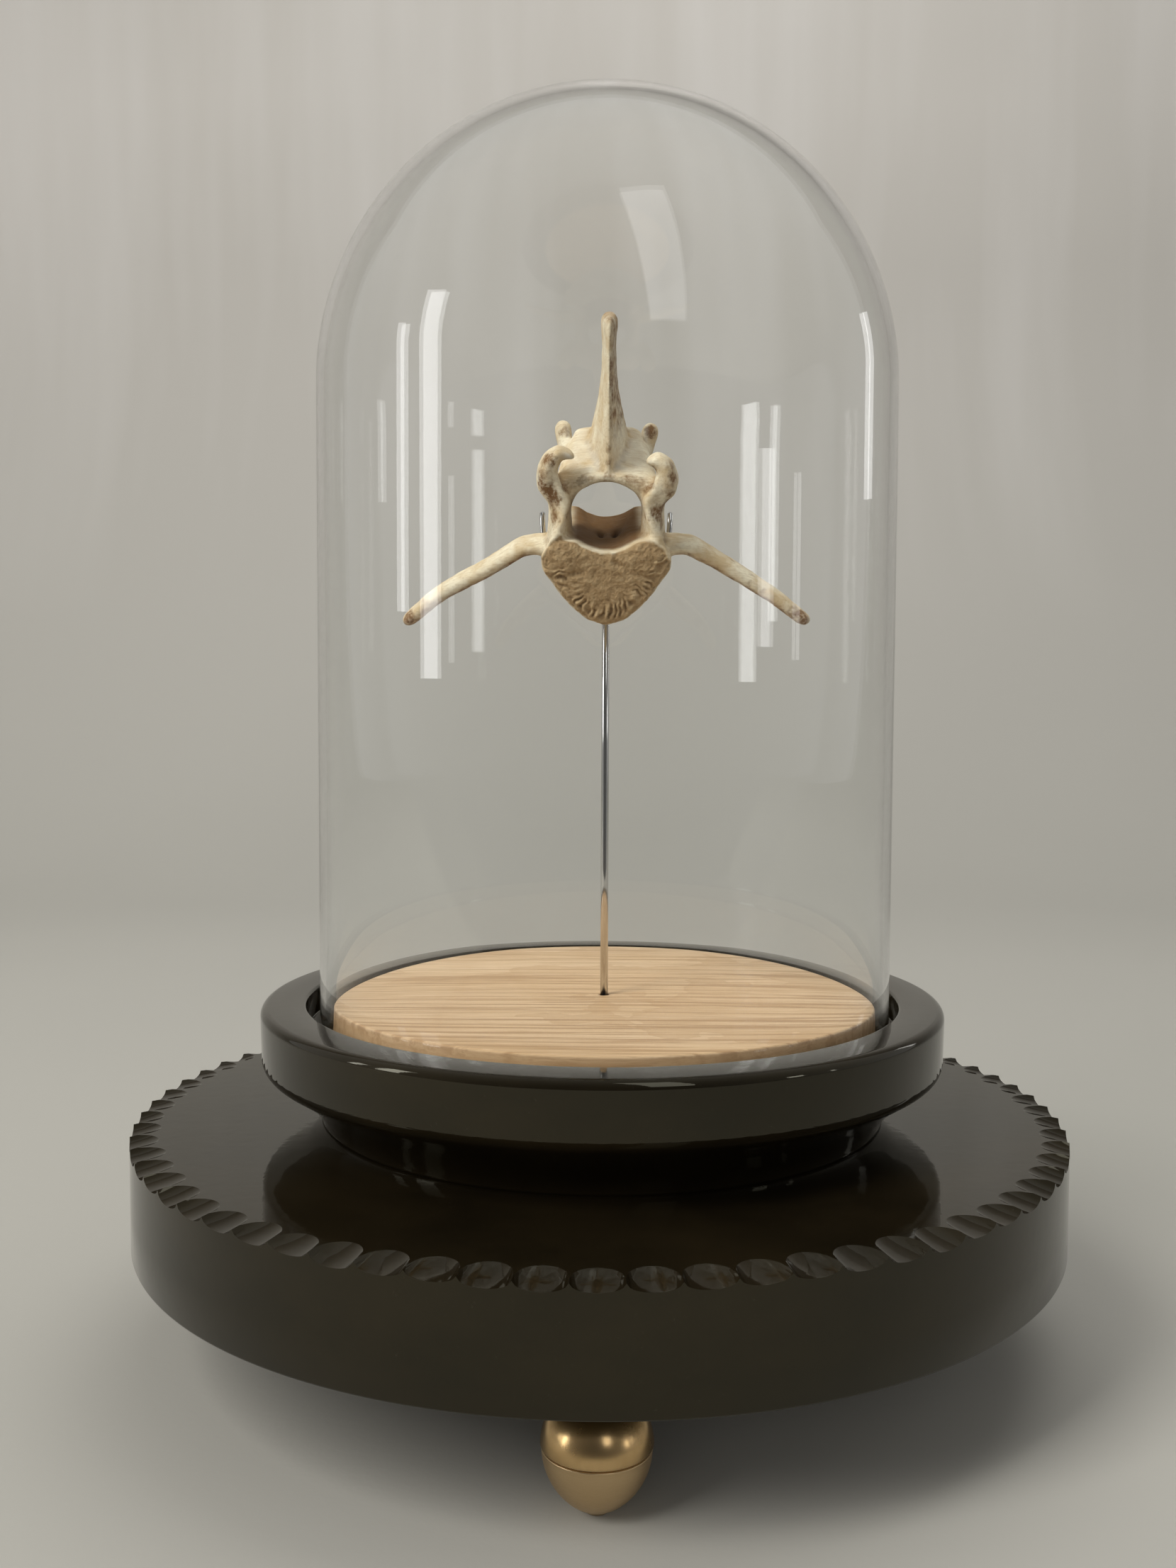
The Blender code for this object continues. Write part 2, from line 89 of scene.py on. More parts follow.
class Finish:
    def __init__(self, name, **sockets):
        self.material = bpy.data.materials.new(name)
        self.material.use_nodes = True
        self.tree = self.material.node_tree
        self.shader = self.tree.nodes["Principled BSDF"]
        self.position = self.node("ShaderNodeTexCoord").outputs["Object"]
        self.feed(self.shader, sockets)

    def feed(self, node, inputs):
        for name, value in inputs.items():
            socket = node.inputs[name]
            if isinstance(value, bpy.types.NodeSocket):
                self.tree.links.new(value, socket)
            else:
                socket.default_value = value

    def node(self, kind, inputs=None, **settings):
        made = self.tree.nodes.new(kind)
        for name, value in settings.items():
            setattr(made, name, value)
        self.feed(made, inputs or {})
        return made

    def mapped(self, location=(0, 0, 0), rotation=(0, 0, 0), scale=(1, 1, 1), kind="POINT", source=None):
        inputs = {"Vector": source or self.position, "Location": location}
        inputs |= {"Rotation": rotation, "Scale": scale}
        return self.node("ShaderNodeMapping", inputs, vector_type=kind).outputs["Vector"]

    def noise(self, vector, scale, detail=3.0, roughness=0.5, distortion=0.0):
        inputs = {"Vector": vector, "Scale": scale, "Detail": detail}
        inputs |= {"Roughness": roughness, "Distortion": distortion}
        return self.node("ShaderNodeTexNoise", inputs).outputs["Fac"]

    def ramp(self, value, stops):
        made = self.node("ShaderNodeValToRGB", {"Fac": value})
        elements = made.color_ramp.elements
        while len(elements) < len(stops):
            elements.new(1.0)
        for element, (place, colour) in zip(elements, stops):
            element.position = place
            level = colour if isinstance(colour, tuple) else (colour,) * 3
            element.color = (*level, 1.0)
        return made.outputs["Color"]

    def mix(self, factor, first, second):
        made = self.node("ShaderNodeMix", data_type="RGBA", blend_type="MIX")
        for index, value in ((0, factor), (6, first), (7, second)):
            if isinstance(value, bpy.types.NodeSocket):
                self.tree.links.new(value, made.inputs[index])
            else:
                made.inputs[index].default_value = (*value, 1.0) if isinstance(value, tuple) else value
        return made.outputs[2]

    def math(self, operation, first, second):
        made = self.node("ShaderNodeMath", operation=operation)
        for index, value in ((0, first), (1, second)):
            if isinstance(value, bpy.types.NodeSocket):
                self.tree.links.new(value, made.inputs[index])
            else:
                made.inputs[index].default_value = value
        return made.outputs[0]

    def range(self, value, low, high, toLow, toHigh):
        inputs = {"Value": value, "From Min": low, "From Max": high, "To Min": toLow, "To Max": toHigh}
        return self.node("ShaderNodeMapRange", inputs).outputs["Result"]

    def attribute(self, name):
        return self.node("ShaderNodeAttribute", attribute_name=name).outputs["Fac"]

    def bump(self, height, strength, distance):
        inputs = {"Height": height, "Strength": strength, "Distance": distance}
        return self.node("ShaderNodeBump", inputs).outputs["Normal"]

    def height(self):
        return self.node("ShaderNodeSeparateXYZ", {"Vector": self.position}).outputs["Z"]


# Camera
view = {"place": (0.0, -0.3842, 0.1646), "pitch": 0.0592, "yaw": 0.0083, "roll": 0.0041, "lens": 44.53}
cameraData = bpy.data.cameras.new("photoView")
cameraData.sensor_fit = "HORIZONTAL"
cameraData.sensor_width = 36.0
cameraData.lens = view["lens"]
cameraData.clip_start = 0.01
cameraData.clip_end = 30.0
camera = bpy.data.objects.new("photoView", cameraData)
scene.collection.objects.link(camera)
turn = Matrix.Rotation(view["yaw"], 4, "Z") @ Matrix.Rotation(math.pi / 2 - view["pitch"], 4, "X")
camera.matrix_world = Matrix.Translation(view["place"]) @ turn @ Matrix.Rotation(view["roll"], 4, "Z")
scene.camera = camera
print("stage: camera")

# Backdrop and light
studio = {
    "frontY": -0.5, "floorY": 0.75, "bend": 0.7, "bendSteps": 16, "wall": 2.6, "width": 5.2,
    "floorColour": (0.345, 0.338, 0.308), "wallColour": (0.57, 0.548, 0.515),
    "cloudColour": (0.42, 0.41, 0.375), "foldHighlight": (0.72, 0.71, 0.70),
    "world": (1.0, 0.99, 0.97), "roomFront": 0.08, "roomBack": 0.47,
}


def backdrop():
    bm = bmesh.new()
    line = [(studio["frontY"], 0.0), (studio["floorY"], 0.0)]
    for i in range(1, studio["bendSteps"] + 1):
        a = math.pi / 2 * i / studio["bendSteps"]
        line.append((studio["floorY"] + studio["bend"] * math.sin(a), studio["bend"] * (1 - math.cos(a))))
    line.append((line[-1][0], studio["wall"]))
    verts = [bm.verts.new((-studio["width"] / 2, y, z)) for y, z in line]
    edges = [bm.edges.new(pair) for pair in zip(verts, verts[1:])]
    grown = bmesh.ops.extrude_edge_only(bm, edges=edges)["geom"]
    moved = [g for g in grown if isinstance(g, bmesh.types.BMVert)]
    bmesh.ops.translate(bm, verts=moved, vec=(studio["width"], 0, 0))
    bmesh.ops.recalc_face_normals(bm, faces=bm.faces)
    mesh = bpy.data.meshes.new("paperSweep")
    bm.to_mesh(mesh)
    bm.free()
    mesh.polygons.foreach_set("use_smooth", [True] * len(mesh.polygons))
    finish = Finish("palePaper", Roughness=0.9)
    cloud = finish.noise(finish.position, 2.2, 2.0, 0.5)
    weave = finish.noise(finish.mapped(scale=(420, 420, 420)), 1.0, 2.0, 0.6)
    height = finish.height()
    pale = finish.mix(finish.range(height, 0.0, 0.9, 0.0, 1.0), studio["floorColour"], studio["wallColour"])
    # painted light: pale streaks on the upper backdrop stand in for lit cloth folds, which are not modelled
    folds = finish.noise(finish.mapped(rotation=(0, 0.12, 0), scale=(9, 2, 0.9)), 1.0, 3.0, 0.55)
    tone = finish.mix(finish.range(cloud, 0.3, 0.7, 0.0, 0.25), pale, studio["cloudColour"])
    foldHighlightMask = finish.range(folds, 0.42, 0.7, 0.0, 0.3)
    foldHighlightMask = finish.math("MULTIPLY", foldHighlightMask, finish.range(height, 0.25, 0.7, 0.0, 1.0))
    tone = finish.mix(foldHighlightMask, tone, studio["foldHighlight"])
    finish.feed(finish.shader, {"Base Color": tone, "Normal": finish.bump(weave, 0.1, 0.0004)})
    mesh.materials.append(finish.material)
    sweep = bpy.data.objects.new("paperSweep", mesh)
    scene.collection.objects.link(sweep)


backdrop()


def softRoom():
    # the room is darker on the camera's side, which is what the black lacquer mirrors
    world = bpy.data.worlds.new("softRoom")
    scene.world = world
    world.use_nodes = True
    nodes, links = world.node_tree.nodes, world.node_tree.links
    around = nodes.new("ShaderNodeTexCoord").outputs["Generated"]
    split = nodes.new("ShaderNodeSeparateXYZ")
    links.new(around, split.inputs[0])
    level = nodes.new("ShaderNodeMapRange")
    limits = {"From Min": -0.95, "From Max": 0.2, "To Min": studio["roomFront"], "To Max": studio["roomBack"]}
    for name, value in limits.items():
        level.inputs[name].default_value = value
    links.new(split.outputs["Y"], level.inputs["Value"])
    links.new(level.outputs["Result"], nodes["Background"].inputs["Strength"])
    nodes["Background"].inputs["Color"].default_value = (*studio["world"], 1.0)


softRoom()

# name, bearing from the camera's side towards +X in degrees, low and high edge over the distance,
# distance and width in metres, radiance, colour
windowLights = (
    ("windowLeft", -82, 0.066, 0.36, 1.7, 0.12, 5.5, (1, 1, 1)),
    ("windowLeftFront", -68.5, 0.007, 0.52, 1.7, 0.25, 6.4, (1, 1, 1)),
    ("windowRight", 61, 0.04, 0.20, 1.7, 0.16, 4.6, (1, 1, 1)),
    ("windowRightBack", 75, 0.03, 0.18, 1.7, 0.05, 4.0, (1, 1, 1)),
    ("windowFarRight", 118, 0.16, 0.42, 1.7, 0.12, 2.6, (1, 1, 1)),
    ("paleWallRight", 22, 0.30, 1.5, 1.7, 0.55, 2.0, (1, 1, 1)),
)
softLights = (
    ("ceilingBack", 150, 1.5, 3.4, 0.7, 1.5, 2.5, (1.0, 0.99, 0.97)),
    ("keyLeft", -50, 0.42, 1.30, 1.6, 0.8, 12.5, (1.0, 0.975, 0.935)),
    ("fillRight", 62, 0.10, 0.9, 1.8, 1.1, 0.6, (1.0, 0.99, 0.97)),
    ("fillLow", -10, 0.03, 0.15, 0.52, 0.7, 0.9, (1.0, 0.98, 0.94)),
    ("fillFront", -8, -0.06, 0.45, 1.9, 1.6, 1.2, (1.0, 0.96, 0.90)),
)
lightAim = Vector((0.0, 0.0, 0.165))


def areaLight(name, bearing, low, high, distance, width, radiance, colour, mirrored):
    # a window shows only in mirrors and glass, a soft light only on matt surfaces
    angle = math.radians(bearing)
    out = Vector((math.sin(angle), -math.cos(angle), 0.0))
    height = (high - low) * distance
    middle = lightAim + out * distance + Vector((0, 0, 0.5 * (low + high) * distance))
    lamp = bpy.data.lights.new(name, "AREA")
    lamp.shape = "RECTANGLE"
    lamp.size = width
    lamp.size_y = height
    lamp.color = colour
    lamp.energy = radiance * math.pi * width * height
    light = bpy.data.objects.new(name, lamp)
    scene.collection.objects.link(light)
    facing = (middle - lightAim).normalized()
    light.matrix_world = Matrix.Translation(middle) @ facing.to_track_quat("Z", "Y").to_matrix().to_4x4()
    light.visible_camera = False
    light.visible_glossy = mirrored
    light.visible_transmission = mirrored
    light.visible_diffuse = not mirrored


for values in windowLights:
    areaLight(*values, mirrored=True)
for values in softLights:
    areaLight(*values, mirrored=False)
print("stage: backdrop and light")

# The disc, dome and rod stand a little to the right of the plinth's middle
upperX = 1.3

# Bone
bonePiece = {
    "origin": (1.3, -7.0, 206.0), "pitch": 20.0, "voxel": 0.42, "smoothing": 9,
    "faceCentre": (0.5, -5.2), "ridgeCount": 38, "ridgeHeight": 0.44, "lumpHeight": 0.30,
    # the cranial end's upper and lower rim and its two furrows, as x and h
    "rimTop": (
        (-17.0, -4.0), (-14.6, 0.2), (-13.1, 2.9), (-11.5, 3.6), (-9.2, 3.2), (-6.6, 2.2), (-4.4, 0.9),
        (-1.4, -0.4), (1.5, -0.7), (2.6, -0.1), (5.9, 1.2), (8.8, 2.6), (11.7, 2.1), (13.8, 0.6),
        (15.2, -1.6), (17.0, -4.6),
    ),
    "rimLow": (
        (-15.2, -5.2), (-13.2, -7.7), (-11.2, -10.7), (-9.4, -12.9), (-6.8, -15.3), (-3.8, -17.5),
        (-1.0, -18.2), (1.8, -17.9), (5.7, -16.3), (8.9, -14.1), (11.0, -11.7), (13.3, -7.5), (15.2, -4.8),
    ),
    "furrows": (
        ((-13.8, -7.0), (-9.3, -6.1), (-5.8, -5.1)),
        ((2.2, -2.6), (4.6, -4.2), (6.4, -5.2), (9.2, -6.6), (11.9, -9.7)),
    ),
    "foramina": ((-1.5, 2.2, 0.3), (2.3, 1.9, 0.4)), "foramenRadius": 1.0, "foramenDepth": 1.8,
    "wingFill": 0.55, "leftSag": 1.3,
    # the hollow, crease, canal, hole and groove colours are painted shade; the lamina colour and the ridge end
    # of the ramp are painted light
    "colours": {
        "cream": (0.79, 0.72, 0.55), "tan": (0.60, 0.465, 0.28), "grain": (0.44, 0.31, 0.165),
        "hollow": (0.38, 0.25, 0.12), "stain": (0.20, 0.105, 0.042), "freckle": (0.36, 0.23, 0.11),
        "lamina": (0.735, 0.725, 0.655), "canal": (0.135, 0.066, 0.022), "dust": (0.44, 0.31, 0.17),
        "grooveShade": (0.26, 0.165, 0.08), "slope": (0.39, 0.268, 0.14), "ridgeToneAndLight": (0.52, 0.39, 0.225),
        "creaseShade": (0.13, 0.07, 0.028), "hole": (0.03, 0.015, 0.006),
    },
}
boneFrame = Matrix.Translation(Vector(bonePiece["origin"]) * mm)
boneFrame = boneFrame @ Matrix.Rotation(math.radians(bonePiece["pitch"]), 4, "X")
boneFrame = boneFrame @ Matrix.Scale(mm, 4)
# Old stains: x, s, h in the bone's own frame, reach, depth of colour
stains = (
    (-14.7, -13.5, 22.0, 2.6, 0.75), (-15.4, -13.2, 18.5, 2.2, 0.6), (-15.0, -13.0, 15.0, 2.6, 1.0),
    (-12.6, -12.6, 12.8, 2.4, 0.9), (-13.9, -12.0, 10.6, 2.0, 0.6), (-11.4, -9.0, 19.6, 1.6, 0.6),
    (16.0, -13.8, 18.2, 2.2, 0.7), (15.2, -13.4, 15.0, 2.0, 0.5), (13.6, -11.5, 10.4, 2.6, 0.8),
    (13.9, -11.5, 6.0, 2.4, 0.5), (11.7, -11.0, 19.6, 1.5, 0.6), (-11.0, 15.5, 23.8, 1.9, 0.6),
    (11.5, 15.7, 24.2, 2.1, 0.95), (0.3, -9.4, 16.6, 2.4, 0.45), (-5.0, -9.3, 16.6, 2.6, 0.4),
    (5.6, -9.2, 16.5, 2.6, 0.5), (0.4, -6.0, 54.5, 1.8, 0.4), (-50.4, -9.0, -19.0, 2.6, 0.7),
    (50.2, -9.0, -18.4, 2.6, 0.75), (-44.0, -8.0, -15.6, 2.4, 0.35), (36.7, -6.0, -10.6, 2.6, 0.5),
    (44.6, -8.5, -15.8, 2.2, 0.5), (-38.0, -4.0, -11.4, 2.4, 0.5), (-12.9, -12.4, 6.0, 1.8, 0.3),
    (1.0, -4.0, 57.0, 3.0, 0.75), (1.4, -5.0, 51.0, 2.4, 0.6), (1.6, -6.0, 45.0, 2.2, 0.45),
    (0.4, -8.0, 24.0, 1.6, 0.5), (0.4, -8.6, 20.0, 2.0, 0.55), (1.8, -6.5, 38.0, 2.0, 0.4),
    (-16.0, -13.5, 24.0, 2.0, 0.6), (16.6, -13.6, 13.0, 2.2, 0.7), (12.4, -9.0, 1.6, 3.4, 0.6),
    (-12.4, -9.0, 1.6, 3.0, 0.55), (24.0, -3.0, -3.0, 2.6, 0.45), (31.0, -4.0, -6.5, 2.4, 0.5),
    (12.2, -12.0, 8.4, 3.0, 0.75), (-12.2, -12.0, 8.4, 3.0, 0.7), (15.8, -13.0, 20.6, 2.2, 0.55),
    (-10.6, -11.0, 15.4, 2.6, 0.7), (10.4, -11.0, 15.0, 2.6, 0.65), (-13.6, -12.0, 26.2, 1.8, 0.5),
    (20.0, -5.0, -2.0, 2.6, 0.45), (40.0, -7.0, -13.0, 2.4, 0.5), (-30.0, -4.0, -7.6, 2.4, 0.4),
    (-46.0, -8.5, -16.8, 2.6, 0.5), (48.0, -9.0, -17.6, 2.6, 0.55), (8.6, -8.8, 15.0, 2.4, 0.4),
)


def boneMesh():
    bm = bmesh.new()
    bm.from_mesh(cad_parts["vertebra"].data)
    bmesh.ops.remove_doubles(bm, verts=bm.verts, dist=1e-6)
    base = bpy.data.meshes.new("boneBase")
    bm.to_mesh(base)
    bm.free()
    holder = bpy.data.objects.new("boneBase", base)
    scene.collection.objects.link(holder)
    remesh = holder.modifiers.new("Fine", "REMESH")
    remesh.mode = "VOXEL"
    remesh.voxel_size = bonePiece["voxel"] * mm
    bpy.context.view_layer.update()
    evaluated = holder.evaluated_get(bpy.context.evaluated_depsgraph_get())
    fine = bpy.data.meshes.new_from_object(evaluated)
    bpy.data.objects.remove(holder, do_unlink=True)
    bm = bmesh.new()
    bm.from_mesh(fine)
    axes = {"use_axis_x": True, "use_axis_y": True, "use_axis_z": True}
    for _ in range(bonePiece["smoothing"]):
        bmesh.ops.smooth_vert(bm, verts=bm.verts, factor=0.5, **axes)
    inverse = boneFrame.inverted()
    front = []
    for face in bm.faces:
        x, s, h = inverse @ face.calc_center_median()
        if s < -12.8 and h < 4.5 and abs(x) < 18.0:
            front.append(face)
    edges = list({edge for face in front for edge in face.edges})
    bmesh.ops.subdivide_edges(bm, edges=edges, cuts=1, use_grid_fill=True)
    bmesh.ops.triangulate(bm, faces=[f for f in bm.faces if len(f.verts) > 4])
    for _ in range(2):
        near = list({v for e in edges if e.is_valid for v in e.verts})
        bmesh.ops.smooth_vert(bm, verts=near, factor=0.4, **axes)
    bm.normal_update()
    return bm


def averaged(values, pairs, counts, rounds):
    for _ in range(rounds):
        total = np.zeros_like(values)
        np.add.at(total, pairs[:, 0], values[pairs[:, 1]])
        np.add.at(total, pairs[:, 1], values[pairs[:, 0]])
        values = 0.5 * values + 0.5 * total / counts[:, None]
    return values


def noiseAt(points, scale, offset=0.0, octaves=1):
    shift = Vector((offset, offset * 0.7, -offset))
    if octaves == 1:
        return np.array([noise.noise(Vector(p) * scale + shift) for p in points])
    return np.array([noise.fractal(Vector(p) * scale + shift, 0.9, 2.1, octaves) for p in points])


def pathDistance(x, h, line):
    points = np.stack([x, h], axis=1)
    nearest = np.full(len(x), 1e9)
    for start, end in zip(line, line[1:]):
        start, along = np.array(start), np.array(end) - np.array(start)
        t = np.clip(((points - start) @ along) / (along @ along), 0.0, 1.0)
        nearest = np.minimum(nearest, np.linalg.norm(points - start - t[:, None] * along, axis=1))
    return nearest


def boneSpecimen():
    bm = boneMesh()
    bm.verts.ensure_lookup_table()
    inverse = boneFrame.inverted()
    places = np.array([inverse @ v.co for v in bm.verts])
    turned = inverse.to_3x3()
    facing = np.array([(turned @ v.normal).normalized() for v in bm.verts])
    pairs = np.array([[v.index for v in e.verts] for e in bm.edges])
    counts = np.bincount(pairs.ravel(), minlength=len(places)).astype(float)
    # in mm, x to the right, s towards the tail and h up, each in the bone's own frame
    x, s, h = places.T
    aside = np.abs(x)
    # growth surface: two lobes, a granular middle and short bold ridges round the lower rim
    slow = noiseAt(places, 0.16, 3.0)
    quick = noiseAt(places, 0.55, 9.0)
    small = noiseAt(places, 1.5, 5.0, 3)
    knots = np.array(bonePiece["rimTop"])
    top = np.interp(x, knots[:, 0], knots[:, 1]) + 0.5 * quick
    plate = smoothStep(-13.4, -14.6, s) * smoothStep(0.2, 0.6, -facing[:, 1]) * smoothStep(18.5, 17.0, aside)
    growth = plate * smoothStep(0.35, -0.25, h - top)
    lip = plate * np.exp(-(((h - top - 0.45) / 0.55) ** 2))
    toRim = pathDistance(x, h, bonePiece["rimLow"])
    toFurrow = np.min([pathDistance(x, h, line) for line in bonePiece["furrows"]], axis=0)
    cx, ch = bonePiece["faceCentre"]
    around = np.arctan2(h - ch, x - cx)
    phase = bonePiece["ridgeCount"] * around + 9.0 * slow + 3.6 * quick
    wave = np.cos(phase)
    ridges = np.sign(wave) * np.abs(wave) ** 0.75
    bold = 0.55 + 0.45 * np.tanh(3.0 * noiseAt(places, 0.42, 21.0) + 0.4)
    fan = smoothStep(4.8, 2.8, toRim + 1.4 * quick) * smoothStep(0.4, 1.2, toRim) * bold
    fan *= 0.62 + 0.38 * np.exp(-((x / 8.0) ** 2))
    lobes = np.exp(-(((x + 10.2) / 4.2) ** 2) - ((h + 1.0) / 3.4) ** 2)
    lobes += np.exp(-(((x - 10.2) / 4.0) ** 2) - ((h + 1.2) / 3.2) ** 2)
    middle = np.exp(-(((x - 0.6) / 5.0) ** 2) - ((h + 6.5) / 4.5) ** 2)
    grit = noiseAt(places, 0.7, 33.0, 2)
    pebbles = 0.55 * grit * (1.0 - 0.5 * middle) + 0.9 * quick + 0.35 * small
    lift = growth * (bonePiece["ridgeHeight"] * fan * ridges + bonePiece["lumpHeight"] * pebbles)
    lift += growth * (0.6 * lobes - 0.45 * np.exp(-((toFurrow / 0.8) ** 2)) - 0.25)
    lift += 0.35 * lip
    # the smoothing thins the long processes, so they are filled out again
    lift += bonePiece["wingFill"] * smoothStep(17.0, 23.0, aside)
    # the rest is smooth, with a slow unevenness
    lift += (1.0 - growth) * (0.10 * quick + 0.12 * slow + 0.03 * small)
    edge = growth * smoothStep(1.0, 0.3, toRim) * smoothStep(0.1, 0.5, facing[:, 1] + 0.8)
    lift += 0.26 * edge * wave
    shift = facing * lift[:, None]
    # the left process hangs a little lower along its middle than the right one
    shift[:, 2] -= bonePiece["leftSag"] * np.exp(-(((x + 30.0) / 9.0) ** 2)) * (x < 0.0)
    # blood-vessel holes in the canal floor, pitted, with painted shade making them near-black inside
    paintedHoleShade = np.zeros(len(places))
    for hole in bonePiece["foramina"]:
        near = np.linalg.norm((places - np.array(hole)) * (1.0, 0.38, 0.6), axis=1)
        pit = np.exp(-((near / bonePiece["foramenRadius"]) ** 2))
        shift[:, 2] -= bonePiece["foramenDepth"] * pit
        paintedHoleShade = np.maximum(paintedHoleShade, pit)
    places = places + shift
    # painted shade in hollows and creases, from the surface's height over its smoothed self
    even = averaged(places, pairs, counts, 30)
    hollow = -((places - even) * facing).sum(1)
    fineEven = averaged(places, pairs, counts, 5)
    creaseShade = -((places - fineEven) * facing).sum(1)
    stain = np.zeros(len(places))
    for sx, ss, sh, reach, depth in stains:
        near = np.linalg.norm(places - np.array((sx, ss, sh)), axis=1) / reach
        ragged = near + 0.55 * quick + 0.35 * small
        stain = np.maximum(stain, depth * smoothStep(1.25, 0.25, ragged))
    # the processes' undersides are browner: partly staining, partly painted shade on the downward faces
    under = smoothStep(0.15, 0.85, -facing[:, 2]) * smoothStep(16.0, 20.0, aside)
    stain = np.maximum(stain, under * (0.45 + 0.5 * quick))
    # painted shade inside the canal: this mask darkens the bone there to a shadowed brown
    canal = smoothStep(10.8, 7.0, aside) * smoothStep(-14.6, -11.0, s) * smoothStep(16.5, 9.0, h)
    canal *= smoothStep(-1.6, -0.6, h) * smoothStep(0.0, 0.5, facing[:, 2] + 0.9 * smoothStep(4.5, 8.0, aside))
    canal *= smoothStep(17.5, 16.0, s)
    # the spine's right side is browner, partly stains and partly painted shade on the side turned from the
    # light; the tip is browner with stains; the lamina between the hooks is painted the palest part, as
    # painted light
    flankStainAndShade = smoothStep(0.1, 0.8, facing[:, 0]) * smoothStep(22.0, 32.0, h) * smoothStep(9.0, 6.0, aside)
    stain = np.maximum(stain, flankStainAndShade * (0.5 + 0.5 * quick))
    stain = np.maximum(stain, smoothStep(51.0, 57.0, h) * (0.8 + 0.5 * quick))
    # painted light: the lamina's front-facing surface between the hooks is made paler and greyer
    lamina = smoothStep(11.5, 9.0, aside) * smoothStep(1.2, 2.4, aside)
    lamina *= smoothStep(17.2, 18.8, h) * smoothStep(31.0, 27.0, h) * smoothStep(0.2, 0.6, -facing[:, 1])
    for vert, place in zip(bm.verts, places):
        vert.co = boneFrame @ Vector(place)
    layers = {
        # the ridge value is painted light and shade on the growth plate's ridges plus random grit
        "growth": growth, "ridgeToneAndLight": np.clip(0.5 + 0.38 * ridges * fan + 0.3 * grit + 0.2 * small, 0, 1),
        "stain": stain, "hollow": np.clip(hollow / 0.5, -1, 1), "creaseShade": np.clip(creaseShade / 0.08, -1, 1),
        "canal": canal, "hole": paintedHoleShade, "lamina": lamina,
    }
    for name, values in layers.items():
        layer = bm.verts.layers.float.new(name)
        for vert, value in zip(bm.verts, values):
            vert[layer] = value
    makePiece("boneSpecimen", bm, boneFinish(), ("vertebra",))


def boneFinish():
    tint = bonePiece["colours"]
    finish = Finish("dryBone", Roughness=0.6, **{"Specular IOR Level": 0.2})
    place = finish.mapped(
        location=tuple(c * mm for c in bonePiece["origin"]), rotation=(math.radians(bonePiece["pitch"]), 0, 0),
        scale=(mm, mm, mm), kind="TEXTURE",
    )
    cloud = finish.noise(place, 0.16, 4.0, 0.6)
    grain = finish.noise(finish.mapped(scale=(0.25, 1.6, 1.6), source=place), 1.0, 4.0, 0.65)
    speck = finish.noise(place, 1.3, 5.0, 0.7)
    pores = finish.node("ShaderNodeTexVoronoi", {"Vector": place, "Scale": 1.7}).outputs["Distance"]
    tone = finish.mix(finish.range(cloud, 0.38, 0.66, 0.0, 1.0), tint["cream"], tint["tan"])
    tone = finish.mix(finish.range(grain, 0.48, 0.72, 0.0, 0.55), tone, tint["grain"])
    # painted shade: hollows are darkened towards the hollow colour
    tone = finish.mix(finish.range(finish.attribute("hollow"), 0.1, 0.8, 0.0, 0.85), tone, tint["hollow"])
    spotty = finish.math("MULTIPLY", finish.attribute("stain"), finish.range(speck, 0.3, 0.62, 0.45, 1.35))
    tone = finish.mix(finish.range(spotty, 0.1, 0.8, 0.0, 1.0), tone, tint["stain"])
    tone = finish.mix(finish.range(speck, 0.60, 0.72, 0.0, 0.5), tone, tint["freckle"])
    # painted light on the lamina's front face
    tone = finish.mix(finish.math("MULTIPLY", finish.attribute("lamina"), 0.65), tone, tint["lamina"])
    # painted shade inside the canal
    tone = finish.mix(finish.math("MULTIPLY", finish.attribute("canal"), 0.95), tone, tint["canal"])
    # the growth plate's grooves are painted dark as painted shade and its crests pale as painted light, with
    # random grit on top
    stops = [(0.1, tint["grooveShade"]), (0.5, tint["slope"]), (0.95, tint["ridgeToneAndLight"])]
    plate = finish.ramp(finish.attribute("ridgeToneAndLight"), stops)
    plate = finish.mix(finish.range(speck, 0.35, 0.7, 0.0, 0.4), plate, tint["dust"])
    tone = finish.mix(finish.attribute("growth"), tone, plate)
    # painted shade: fine creases are darkened
    tone = finish.mix(finish.range(finish.attribute("creaseShade"), 0.3, 1.0, 0.0, 0.3), tone, tint["creaseShade"])
    # painted shade: near-black inside the blood-vessel holes
    tone = finish.mix(finish.attribute("hole"), tone, tint["hole"])
    height = finish.math("ADD", finish.math("MULTIPLY", speck, 0.5), finish.math("MULTIPLY", grain, 0.6))
    pitted = finish.math("MULTIPLY", pores, finish.math("MULTIPLY", finish.attribute("growth"), 0.5))
    height = finish.math("ADD", height, pitted)
    dull = finish.math("MAXIMUM", finish.attribute("canal"), finish.attribute("growth"))
    finish.feed(finish.shader, {
        "Base Color": tone, "Normal": finish.bump(height, 0.6, 0.00035),
        "Specular IOR Level": finish.range(dull, 0.0, 1.0, 0.22, 0.04),
        "Roughness": finish.range(cloud, 0.3, 0.7, 0.52, 0.68),
    })
    return finish.material


boneSpecimen()
print("stage: bone")

# Rod and fork
rodPiece = {
    "radius": 1.0, "forkRadius": 0.75, "bottomZ": 79.3, "forkZ": 184.6,
    "sides": 32, "armSides": 16, "armSteps": 48,
    # the right arm's control points over the fork's root
    "arm": (
        (2.4, 0.4, 1.8), (7.4, 1.6, 6.8), (12.4, 3.4, 12.4), (15.9, 4.6, 18.6), (17.0, 4.8, 23.4),
        (16.9, 4.4, 28.6),
    ),
    "bright": (0.72, 0.71, 0.69), "dull": (0.60, 0.59, 0.57),
}


